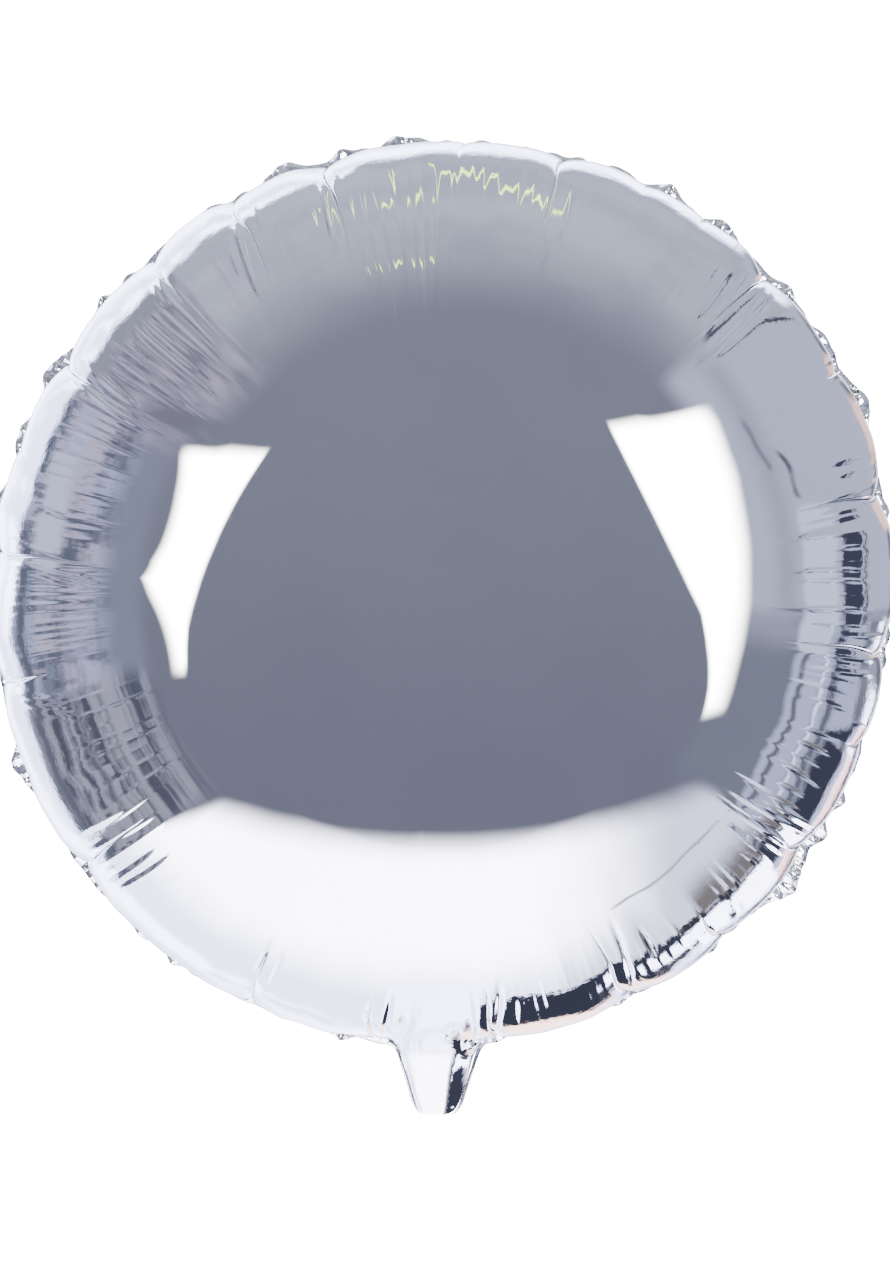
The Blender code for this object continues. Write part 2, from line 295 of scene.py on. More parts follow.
def lobe_places(share):
    """Where the film's spokes lie at rings that are given as shares of its length from middle to seam.

    The filled disc has more film round its rim than the rim has room for. The spare film goes into closed
    pleats at the creases. For each ring and spoke this gives the azimuth, the depth inside a pleat, the place
    across the lobe from -1 to 1, and the lobe's number.
    """
    along, tilt, radius, _ = at_share(share)
    turned, weights, opens = sorted_creases()
    places = np.radians(turned)
    count = len(places)
    spare = 2 * pi * np.maximum(along - radius, 0) * PLEATED_SHARE
    opened = smooth_step(opens - 4, opens + 18, np.degrees(tilt)[:, None])
    pleats = spare[:, None] * opened * weights / weights.sum()
    full = 2 * pi * (along[-1] - radius[-1]) * PLEATED_SHARE * weights / weights.sum()
    room = np.diff(np.append(places, places[0] + 2 * pi))
    lobes = room / (2 * pi) * (2 * pi * along[-1] - full.sum()) + (full + np.roll(full, -1)) / 2
    lobes = lobes / along[-1]
    starts = np.concatenate([[0], np.cumsum(lobes)[:-1]])
    starts = starts + (places - starts).mean()
    # The spokes lie closer beside the creases.
    turn = np.linspace(0, 2 * pi, 20001)
    away = (turn[:, None] + starts[0] - starts + pi) % (2 * pi) - pi
    close = 1 + 0.8 * (np.exp(-((away / 0.04) ** 2)) * (weights > 0.3)).max(1)
    passed = np.concatenate([[0], np.cumsum(close[:-1])])
    spoke = np.interp(np.arange(FINE_SPOKES) / FINE_SPOKES, passed / passed[-1], turn) + starts[0]
    lobe = np.clip(np.searchsorted(starts, spoke, side="right") - 1, 0, count - 1)
    after = (lobe + 1) % count
    into = (spoke - starts[lobe])[None, :] * along[:, None]
    whole = lobes[lobe][None, :] * along[:, None]
    first, second = pleats[:, lobe] / 2, pleats[:, after] / 2

    def corner(past, half):
        fillet = 0.0017 * half / (half + 0.0012) + 1e-7
        return (past + np.sqrt(past**2 + fillet**2)) / 2, (-past + np.sqrt(past**2 + fillet**2)) / 2

    near, near_depth = corner(into - first, first)
    far, far_depth = corner(whole - into - second, second)
    near = near - corner(-first, first)[0]
    far = far - corner(-second, second)[0]
    across = near / np.maximum(near + far, 1e-9)
    shown = lobes * along[:, None] - (pleats + np.roll(pleats, -1, 1)) / 2
    shown = shown / shown.sum(1, keepdims=True) * 2 * pi
    creases = np.concatenate([np.zeros((len(along), 1)), np.cumsum(shown, 1)[:, :-1]], 1)
    creases = creases + (places.mean() - creases.mean(1))[:, None]
    azimuth = creases[:, lobe] + across * shown[:, lobe]
    return azimuth, near_depth + far_depth, 2 * across - 1, lobe


def film_points(share, side):
    """One panel's points as rings by spokes, and their azimuths."""
    _, tilt, radius, depth = at_share(share)
    azimuth, sunk, across, lobe = lobe_places(share)
    sizes = foil_sizes()
    own = np.random.default_rng(31).uniform(-0.0009, 0.0009, len(CREASES))[lobe]
    slope = np.degrees(tilt)[:, None]
    rise = sizes.bulge * smooth_step(18, 68, slope) - sizes.groove * smooth_step(79, 90, slope)
    turned, shares, _ = sorted_creases()
    nearer = np.where(across < 0, shares[lobe], shares[(lobe + 1) % len(shares)])
    beside = (1 - np.abs(across)) * np.diff(np.append(turned, turned[0] + 360))[lobe] / 2
    dip = sizes.lobe_height * crease_dip(nearer, across, beside)
    dip = (dip - own * (1 - across**2)) * smooth_step(48, 88, slope)
    drape = 0.00018 * wavy_sheet(azimuth, tilt, 41 if side < 0 else 42) * smooth_step(30, 62, slope)
    out = rise - dip - sunk + drape
    reach = radius[:, None] + out * np.sin(tilt)[:, None]
    reach = reach * (1 + oval(azimuth) * (radius[:, None] / radius[-1]) ** 2)
    lift = np.maximum(depth[:, None] + out * np.cos(tilt)[:, None], 0)
    sway = seam_sway(azimuth[-1]) * (radius / radius[-1])[:, None] ** 10
    points = np.stack([reach * np.cos(azimuth), side * lift + sway, reach * np.sin(azimuth)], -1)
    return points, azimuth


def wavy_sheet(azimuth, tilt, seed):
    """A gentle random unevenness over a panel, longer along its spokes than across them."""
    source = np.random.default_rng(seed)
    total = np.zeros_like(azimuth)
    waves = 26
    for _ in range(waves):
        count = source.integers(14, 70)
        height = source.normal()
        drift = source.uniform(-9, 9) * tilt[:, None]
        total += height * np.cos(count * azimuth + drift + source.uniform(0, 6.3))
    return total / waves**0.5


def from_neck(turned):
    """Angle from the neck's middle to an azimuth in degrees, from -180 to 180."""
    return (turned - NECK_AZIMUTH + 180) % 360 - 180


def seam_sway(azimuth):
    """How far the seam wanders to the back at an azimuth. Down the neck it is straight."""
    return wavy(azimuth, 6, 44, 5) * SEAM_SWAY * (1 - near_neck(from_neck(np.degrees(azimuth))))


def oval(azimuth):
    """How much wider the globe is at an azimuth than a true round one, as a share. It spares the neck."""
    turned = np.degrees(azimuth)
    wide = 0.0120 * np.cos(np.radians(2 * (turned - 50))) + 0.0050 * np.cos(np.radians(turned - 230))
    return (wide - 0.0015) * (1 - near_neck(from_neck(turned)))


def neck_bell(offset):
    """How much of the neck's reach its outline has at an angle from its middle."""
    return 1 / (1 + (offset / foil_sizes().neck_spread) ** 4)


def near_neck(offset):
    """One at the neck and zero away from it, at an angle from its middle."""
    return np.clip(3 * neck_bell(offset), 0, 1)


def crest_radius():
    """The globe's radius at the lobes' crests."""
    return at_share(1.0)[2] + foil_sizes().bulge


def neck_extra(offset):
    """How far the neck's outline reaches past the globe's at an angle, with round corners at the mouth."""
    sizes = foil_sizes()
    floor = sizes.mouth_drop / np.cos(np.radians(np.clip(offset, -4, 4))) - crest_radius()
    flank = sizes.neck_reach * neck_bell(offset)
    return (floor**-9 + flank**-9) ** (-1 / 9)


def flank_offset(reach):
    """Angle of the neck's outline from its middle at a distance from the origin."""
    sizes = foil_sizes()
    past = np.maximum(reach - crest_radius(), 1e-5)
    return sizes.neck_spread * np.maximum(sizes.neck_reach / past - 1, 1e-4) ** 0.25


def mouth_corner():
    """Angle from the neck's middle to the corners of its mouth."""
    return float(flank_offset(np.array(foil_sizes().mouth_drop)))


def fine_shares():
    """Shares of the film's length at the fine rings, closer where the creases run."""
    inner = np.linspace(0.02, 0.42, 10, endpoint=False)
    middle = np.linspace(0.42, 0.93, FINE_RINGS - 20, endpoint=False)
    return np.concatenate([inner, middle, np.linspace(0.93, 1.0, 10)])


def ripple_height(azimuth, tilt, seed):
    """Height of the fine ripples, by rings and spokes."""
    source = np.random.default_rng(seed)
    degrees = (np.degrees(azimuth) + 95) % 360 - 95
    slope = np.degrees(tilt)[:, None]
    total = np.zeros_like(azimuth)
    for first, last, period, height, low, high, narrow in RIPPLES:
        count = max(2, round((last - first) / period))
        place = (degrees - first) / (last - first)
        inside = smooth_step(0, 0.6 / count, place) * smooth_step(1, 1 - 0.6 / count, place)
        drift = 0.016 * count * np.sin(2 * pi * place * 1.7 + source.uniform(0, 6))
        drift = drift + source.uniform(-0.5, 0.5)
        lean = 0.10 * np.sin(slope * 0.11 + place * 7 + source.uniform(0, 6))
        own = 0.74 + 0.26 * np.sin(place * count * 2.3 + source.uniform(0, 6) + slope * 0.08)
        starts = low + 4 * np.sin(place * count * 2.1 + source.uniform(0, 6)) - 4
        along = smooth_step(0, 1, (slope - starts) / 14) * smooth_step(0, 1, (high - slope) / 12)
        wave = 2 * pi * (place * count + drift + lean)
        crest = np.exp(narrow * (np.cos(wave + 0.7 * np.cos(wave)) - 1))
        total += height / 1000 * own * inside * along * crest
    return total


def fold_height(azimuth, tilt):
    """Height of the small folds beside the creases, by rings and spokes."""
    degrees = np.degrees(azimuth)
    slope = np.degrees(tilt)[:, None]
    radius = at_share(fine_shares())[2][:, None]
    total = np.zeros_like(azimuth)
    for outer, inner, high, low, height, width in FOLDS:
        along = (slope - low) / (high - low)
        beside = (degrees - inner - (outer - inner) * along + 180) % 360 - 180
        across = np.radians(beside) * radius * 1000 / width
        ends = smooth_step(0, 0.35, along) * smooth_step(1.05, 0.85, along)
        total += height / 1000 * ends * np.exp(-across**2)
    return total


def film_normals(points, side):
    """The film's outward normals at its points."""
    down = np.gradient(points, axis=0)
    beside = np.roll(points, -1, 1) - np.roll(points, 1, 1)
    normal = np.cross(down, beside) * -side
    return normal / np.maximum(np.linalg.norm(normal, axis=-1, keepdims=True), 1e-12)


def neck_depth(reach, offset, side):
    """Half the neck's depth at a distance from the origin and an angle from its middle.

    The neck is a roof with its ridge off the middle, flat on one side and crumpled on its steep side.
    """
    crest = crest_radius()
    flank = np.minimum(flank_offset(reach), NECK_WIDEST)
    place = np.clip(offset / flank, -1, 1)
    ridge = NECK_RIDGE * -side
    steep = (place - ridge) * -side > 0
    from_ridge = np.where(place > ridge, (place - ridge) / (1 - ridge), (ridge - place) / (1 + ridge))
    above = np.clip(foil_sizes().mouth_drop - reach, 0, NECK_HEIGHT)
    depth = NECK_MOUTH_DEPTH + NECK_FRONT_SLOPE * above + NECK_FRONT_FLARE * above**2
    hem = NECK_HEM + NECK_HEM_RISE * above + 0.09 * np.sin(reach * 1000) + 0.05 * np.sin(reach * 2300 + 1)
    steepness = NECK_FACET_SLOPE * (0.5 + 0.5 * smooth_step(crest + 0.001, crest + 0.006, reach))
    drop = steepness * hem * (1 - NECK_RIDGE) * np.radians(flank) * reach / depth
    drop = np.clip(drop, 0, NECK_FACET_LIMIT)
    fall = np.maximum(from_ridge / hem, 0.01)
    facet = 1 - drop * (fall**-8 + 1) ** -0.125
    facet = facet - (1 - drop) * np.clip((from_ridge - hem) / (1 - hem), 0, 1)
    plain = np.maximum(1 - from_ridge**5, 0) ** 0.2
    roof = smooth_step(crest - 0.014, crest - 0.002, reach)
    shape = (1 - place**2) ** 2 * (1 - roof) + np.where(steep, facet, plain) * roof
    return np.where(np.abs(place) < 1, depth * shape * smooth_step(crest - 0.018, crest, reach), 0)


def with_neck(points, offset, tilt, stretch, side):
    """The film's points with the neck run out of them."""
    bell = neck_bell(offset)
    reach = np.hypot(points[..., 0], points[..., 2])
    turn = np.arctan2(points[..., 2], points[..., 0])
    y = points[..., 1] * side
    fill = foil_sizes().groove * np.clip(2.5 * bell, 0, 1) * smooth_step(79, 90, np.degrees(tilt))[:, None]
    longer = reach + (neck_extra(offset) + fill) * stretch
    # The globe keeps its own outline at the neck's root.
    for spoke in np.flatnonzero(bell[-1] > 0.01):
        inner = np.maximum.accumulate(reach[:, spoke] + fill[:, spoke] * stretch[:, 0])
        shift = NECK_ROOT_SHIFT * bell[-1, spoke] * stretch[:, 0] ** 2
        own = np.interp(longer[:, spoke] - shift, inner, y[:, spoke], right=y[-1, spoke])
        own = np.minimum(own, y[:, spoke])
        y[:, spoke] += (own - y[:, spoke]) * smooth_step(0.01, 0.08, bell[-1, spoke])
    # Beside the mouth the two halves round in to meet at the seam.
    order = np.argsort(offset[-1])
    outline = np.interp(offset, offset[-1, order], longer[-1, order])
    inward = 1 - np.clip((outline - longer) / NECK_SEAM_ROUND, 0, 1)
    closed = smooth_step(mouth_corner() + 0.1, mouth_corner() + 0.9, np.abs(offset))
    depth = neck_depth(longer, from_neck(np.degrees(turn)), side)
    depth = depth * (1 - closed * (1 - np.sqrt(1 - inward**2)))
    y = np.cbrt(np.maximum(y, 0) ** 3 + depth**3) + np.minimum(y, 0)
    return np.stack([longer * np.cos(turn), side * y, longer * np.sin(turn)], -1)


@lru_cache(maxsize=None)
def fine_film(side):
    """One panel's points by rings and spokes, its middle, and how crumpled it is. The front's side is -1."""
    tilt = at_share(fine_shares())[1]
    points, azimuth = film_points(fine_shares(), side)
    offset = from_neck(np.degrees(azimuth))
    stretch = smooth_step(radians(NECK_STRETCH_TILT), pi / 2, tilt)[:, None]
    # Ripples stand on the film's own normal.
    ripple = ripple_height(azimuth, tilt, 11 if side < 0 else 12) + fold_height(azimuth, tilt)
    ripple = ripple * (1 - np.clip(3 * neck_bell(offset) * stretch, 0, 1))
    points = points + film_normals(points, side) * ripple[..., None]
    points = with_neck(points, offset, tilt, stretch, side)
    middle = np.array([0.0, side * profile_tables()[3][0], 0.0])
    crumple = smooth_step(radians(30), radians(80), tilt)[:, None] * np.ones(FINE_SPOKES)
    return points, middle, crumple


def mesh_from(name, points, faces):
    """A mesh object at the origin from points and faces, shaded smooth."""
    mesh = bpy.data.meshes.new(name)
    mesh.from_pydata(points.tolist(), [], faces)
    mesh.update()
    mesh.shade_smooth()
    thing = bpy.data.objects.new(name, mesh)
    bpy.context.scene.collection.objects.link(thing)
    return thing


def grid_faces(rings, spokes, flip, closed=True):
    """Quads between rings of spokes, as rows of four point numbers."""
    steps = spokes if closed else spokes - 1
    ring, spoke = np.meshgrid(np.arange(rings - 1), np.arange(steps), indexing="ij")
    here, after = ring * spokes + spoke, ring * spokes + (spoke + 1) % spokes
    quads = [here, here + spokes, after + spokes, after]
    return np.stack(quads[::-1] if flip else quads, -1).reshape(-1, 4)


# Shader maths.


class Wire:
    """A node socket on which Python's arithmetic adds Math nodes."""

    def __init__(self, nodes, socket):
        self.nodes = nodes
        self.socket = socket

    def math(self, operation, *others):
        return self.nodes.node("ShaderNodeMath", {"operation": operation}, dict(enumerate((self, *others))))

    __add__ = __radd__ = partialmethod(math, "ADD")
    __sub__ = partialmethod(math, "SUBTRACT")
    __mul__ = __rmul__ = partialmethod(math, "MULTIPLY")
    __truediv__ = partialmethod(math, "DIVIDE")
    __pow__ = partialmethod(math, "POWER")

    def __rsub__(self, other):
        return self.nodes.node("ShaderNodeMath", {"operation": "SUBTRACT"}, {0: other, 1: self})

    def rise(self, low, high):
        """Zero at low and one at high, with a soft rise between."""
        return self.nodes.node(
            "ShaderNodeMapRange", {"interpolation_type": "SMOOTHSTEP"},
            {"Value": self, "From Min": low, "From Max": high})


class Nodes:
    """A node tree that is filled from Python expressions."""

    def __init__(self, tree):
        self.tree = tree

    def node(self, kind, settings=None, values=None, output=0):
        made = self.tree.nodes.new(kind)
        for name, value in (settings or {}).items():
            setattr(made, name, value)
        for name, value in (values or {}).items():
            self.set(made.inputs[name], value)
        return Wire(self, made.outputs[output])

    def set(self, socket, value):
        if isinstance(value, Wire):
            self.tree.links.new(value.socket, socket)
        else:
            socket.default_value = (*value, 1.0) if socket.type == "RGBA" and len(value) == 3 else value

    def noise(self, place, scale, detail, roughness=0.5):
        """Noise at a place, from about 0.3 to 0.7."""
        values = {"Vector": place, "Scale": scale, "Detail": detail, "Roughness": roughness}
        return self.node("ShaderNodeTexNoise", {}, values)

    def mix(self, share, low, high):
        """Low where share is zero and high where it is one, for colours."""
        return self.node("ShaderNodeMix", {"data_type": "RGBA"}, {0: share, 6: low, 7: high}, output=2)


def new_material(name):
    """A material, its node tree and its shader."""
    material = bpy.data.materials.new(name)
    material.use_nodes = True
    return material, Nodes(material.node_tree), material.node_tree.nodes["Principled BSDF"]


def foil_material(name, colour, roughness, grain, sealed=False):
    """Mirror foil: faint haze and finger marks in its gloss, fine crinkles where the film is crumpled."""
    material, nodes, shader = new_material(name)
    place = nodes.node("ShaderNodeTexCoord", output=3)
    haze = nodes.noise(place, 22.0, 4.0, 0.6)
    marks = nodes.noise(place, 160.0, 2.0)
    crease = nodes.node("ShaderNodeAttribute", {"attribute_name": "crumple"}, output=2)
    gloss = haze.rise(0.35, 0.75) * 0.012 + marks.rise(0.55, 0.8) * 0.008 + crease * 0.008 + roughness
    nodes.set(shader.inputs["Roughness"], gloss)
    dull = tuple(part * 0.965 for part in colour)
    nodes.set(shader.inputs["Base Color"], nodes.mix(haze.rise(0.4, 0.7), colour, dull))
    shader.inputs["Metallic"].default_value = 1.0
    height = nodes.noise(place, grain, 3.0, 0.55) * crease
    if sealed:
        height = height + nodes.node("ShaderNodeTexVoronoi", {}, {"Vector": place, "Scale": 900.0}) * 0.4
    bump = nodes.node("ShaderNodeBump", {}, {"Height": height, "Strength": 0.35, "Distance": 0.0004})
    nodes.set(shader.inputs["Normal"], bump)
    return material


def clear_film_material(colour):
    """Clear valve film with faint flow lines."""
    material, nodes, shader = new_material("clear_valve_film")
    place = nodes.node("ShaderNodeTexCoord", output=3)
    stretched = nodes.node("ShaderNodeMapping", {}, {"Vector": place, "Scale": (400.0, 400.0, 40.0)})
    flow = nodes.noise(stretched, 1.0, 2.0)
    nodes.set(shader.inputs["Base Color"], nodes.mix(flow, colour, tuple(part * 0.93 for part in colour)))
    nodes.set(shader.inputs["Roughness"], flow * 0.15 + 0.08)
    nodes.set(shader.inputs["Alpha"], flow * 0.1 + 0.35)
    shader.inputs["IOR"].default_value = 1.5
    return material


# Operators, one for each piece or group of like pieces.


def add_crumple(mesh, values):
    """Store how crumpled the film is at each point."""
    layer = mesh.attributes.new("crumple", "FLOAT", "POINT")
    layer.data.foreach_set("value", np.asarray(values, dtype=np.float32))


def add_wall(sheet, thickness):
    """Give a sheet its thickness, half to each side."""
    wall = sheet.modifiers.new("wall", "SOLIDIFY")
    wall.thickness = thickness
    wall.offset = 0


class FOILBALLOON_OT_panels(bpy.types.Operator):
    """Make the front and back panels of creased mirror foil, each with its half of the neck"""

    bl_idname = "foil_balloon.panels"
    bl_label = "Foil Panels"

    def execute(self, context):
        sizes = foil_sizes()
        foil = foil_material("mirror_foil", tuple(sizes.foil_colour), sizes.foil_roughness, grain=260.0)
        for name, side, node in (("front_foil", -1, "front_panel"), ("back_foil", 1, "back_panel")):
            points, middle, crumple = fine_film(side)
            rings, spokes = points.shape[:2]
            quads = grid_faces(rings, spokes, side > 0).tolist()
            centre = rings * spokes
            # A fan round the panel's middle closes the innermost ring.
            fan = [(centre, spoke, (spoke + 1) % spokes)[::-side] for spoke in range(spokes)]
            panel = mesh_from(name, np.concatenate([points.reshape(-1, 3), middle[None]]), fan + quads)
            add_crumple(panel.data, np.append(crumple.ravel(), 0.0))
            panel.data.materials.append(foil)
            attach(panel, "root")
            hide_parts(node)
        return {"FINISHED"}


# Places across the sealed edge, as shares of its width from the seam out. The first lies inside the seam.
EDGE_ROWS = (-0.35, 0.0, 0.25, 0.5, 0.75, 1.0)
# How far the edge leans back, in radians, round the globe and down the neck.
EDGE_LEAN = 0.75
NECK_EDGE_LEAN = 1.15


def edge_band():
    """The sealed edge's points by rows and steps, and how crumpled each step is."""
    foil = foil_sizes()
    corner = mouth_corner()
    beside = [np.linspace(corner, 8, 60)[:-1], np.linspace(352, 360 - corner, 60)[1:]]
    turned = np.concatenate([beside[0], np.linspace(8, 352, EDGE_STEPS), beside[1]])
    azimuth = np.radians(turned + NECK_AZIMUTH)
    offset = (turned + 180) % 360 - 180
    neck = near_neck(offset)
    flap = sum(high * np.exp(-(((np.degrees(azimuth) - place + 180) % 360 - 180) / spread) ** 2)
               for place, spread, high in EDGE_FLAPS)
    outer = crest_radius() * (1 + oval(azimuth)) + 0.0007 * wavy(azimuth, 20, 120, 23) + flap - 0.0006
    inner = at_share(1.0)[2] + (foil.bulge - foil.groove) * (1 - neck) + foil.bulge * neck
    inner = inner * (1 + oval(azimuth)) - foil.lobe_height * dip_at(azimuth) * (1 - neck)
    inner = inner + neck_extra(offset)
    width = (outer + foil.neck_reach * neck_bell(offset) - inner) * (1 - neck)
    width = width + bpy.context.scene.foil_balloon_edge.neck_width * neck
    width = width * smooth_step(corner - 0.3, corner + 1.0, np.abs(offset))
    radial = np.stack([np.cos(azimuth), np.zeros_like(azimuth), np.sin(azimuth)], -1)
    seam = radial * inner[:, None]
    seam[:, 1] = seam_sway(azimuth)
    along = np.gradient(seam, axis=0)
    outward = np.stack([along[:, 2], np.zeros_like(azimuth), -along[:, 0]], -1)
    outward /= np.maximum(np.linalg.norm(outward, axis=-1, keepdims=True), 1e-9)
    outward *= np.sign((outward * radial).sum(-1, keepdims=True))
    outward = outward * neck[:, None] + radial * (1 - neck)[:, None]
    across, crease, _ = lobe_place(np.degrees(azimuth))
    pucker = 0.35 + 0.65 * crease * np.abs(across) ** 3
    ripple = (wavy(azimuth, 60, 140, 21) + wavy(azimuth, 160, 300, 22) * 0.8) * pucker * (1 - neck)
    lean = EDGE_LEAN * (1 - neck) + NECK_EDGE_LEAN * neck
    rows = []
    for row, share in enumerate(EDGE_ROWS):
        out = max(share, 0)
        fold = 0.0016 * wavy(azimuth, 70, 190, 30 + row) * (flap / 0.004) * out
        wave = 0.0008 * ripple * out * (1 + flap / 0.003)
        back = (np.tan(lean) * 0.35 * width * out + wave + fold) * (1 - neck)
        back = back + np.sin(lean) * width * out * neck
        reach = width * share * (np.cos(lean) * neck + 1 - neck)
        rows.append(seam + outward * reach[:, None] + np.array([0.0, 1.0, 0.0]) * back[:, None])
    return np.stack(rows), pucker * 0.8 + 0.2


class FOILBALLOON_OT_edge(bpy.types.Operator):
    """Make the crinkled heat-sealed edge round the globe and down both sides of the neck"""

    bl_idname = "foil_balloon.edge"
    bl_label = "Sealed Edge"

    def execute(self, context):
        sizes = context.scene.foil_balloon_edge
        band, crumple = edge_band()
        faces = grid_faces(*band.shape[:2], False, closed=False).tolist()
        edge = mesh_from("sealed_edge", band.reshape(-1, 3), faces)
        add_crumple(edge.data, np.tile(crumple, len(band)))
        add_wall(edge, sizes.thickness)
        foil = foil_material("sealed_foil", tuple(sizes.edge_colour), roughness=0.1, grain=700.0, sealed=True)
        edge.data.materials.append(foil)
        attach(edge, "root")
        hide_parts("edge_seal")
        return {"FINISHED"}


# The valve's films: their middle, lower end, length, half width at that end, and how it grows upwards.
VALVE_MIDDLE = -0.0026
VALVE_END = -0.2035
VALVE_LENGTH = 0.0445
VALVE_HALF_WIDTH = 0.0060
VALVE_SPREAD = 0.0032
VALVE_GRID = (24, 21)


class FOILBALLOON_OT_valve(bpy.types.Operator):
    """Make the two clear films of the valve, which end just inside the neck's mouth"""

    bl_idname = "foil_balloon.valve"
    bl_label = "Valve Films"

    def execute(self, context):
        sizes = context.scene.foil_balloon_edge
        film = clear_film_material(tuple(sizes.valve_colour))
        rows, columns = VALVE_GRID
        height, across = np.meshgrid(np.linspace(0, 1, rows), np.linspace(-1, 1, columns), indexing="ij")
        x = VALVE_MIDDLE + across * (VALVE_HALF_WIDTH + VALVE_SPREAD * height)
        opening = 0.0002 + 0.0012 * (1 - across**2) * (0.5 + 0.5 * height) * (1 + 0.2 * np.sin(height * 9))
        for name, side in (("valve_front_film", -1), ("valve_back_film", 1)):
            points = np.stack([x, side * opening, VALVE_LENGTH * height + VALVE_END], -1).reshape(-1, 3)
            faces = grid_faces(rows, columns, side > 0, closed=False).tolist()
            strip = mesh_from(name + "_sheet", points, faces)
            add_wall(strip, sizes.valve_thickness)
            strip.data.materials.append(film)
            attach(strip, "root")
            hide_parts(name)
        return {"FINISHED"}


# Picture values of a grey, and the scene's brightness that gives each.
TONES = (
    (0, 0.0), (18, 0.01), (32, 0.0198), (49, 0.0391), (68, 0.0651), (83, 0.0916), (100, 0.1287), (118, 0.181),
    (137, 0.2545), (154, 0.3578), (171, 0.503), (183, 0.7072), (196, 0.9942), (207, 1.398), (217, 1.965),
    (225, 2.763), (232, 3.885), (239, 5.46), (244, 7.68), (250, 10.8), (254, 15.2), (255, 18.0),
)


def lit(red, green, blue):
    """The studio's brightness that the foil mirrors as this picture colour."""
    values, levels = zip(*TONES)
    pairs = zip((red, green, blue), FOIL_COLOUR)
    return tuple(float(np.interp(part, values, levels)) / foil for part, foil in pairs)


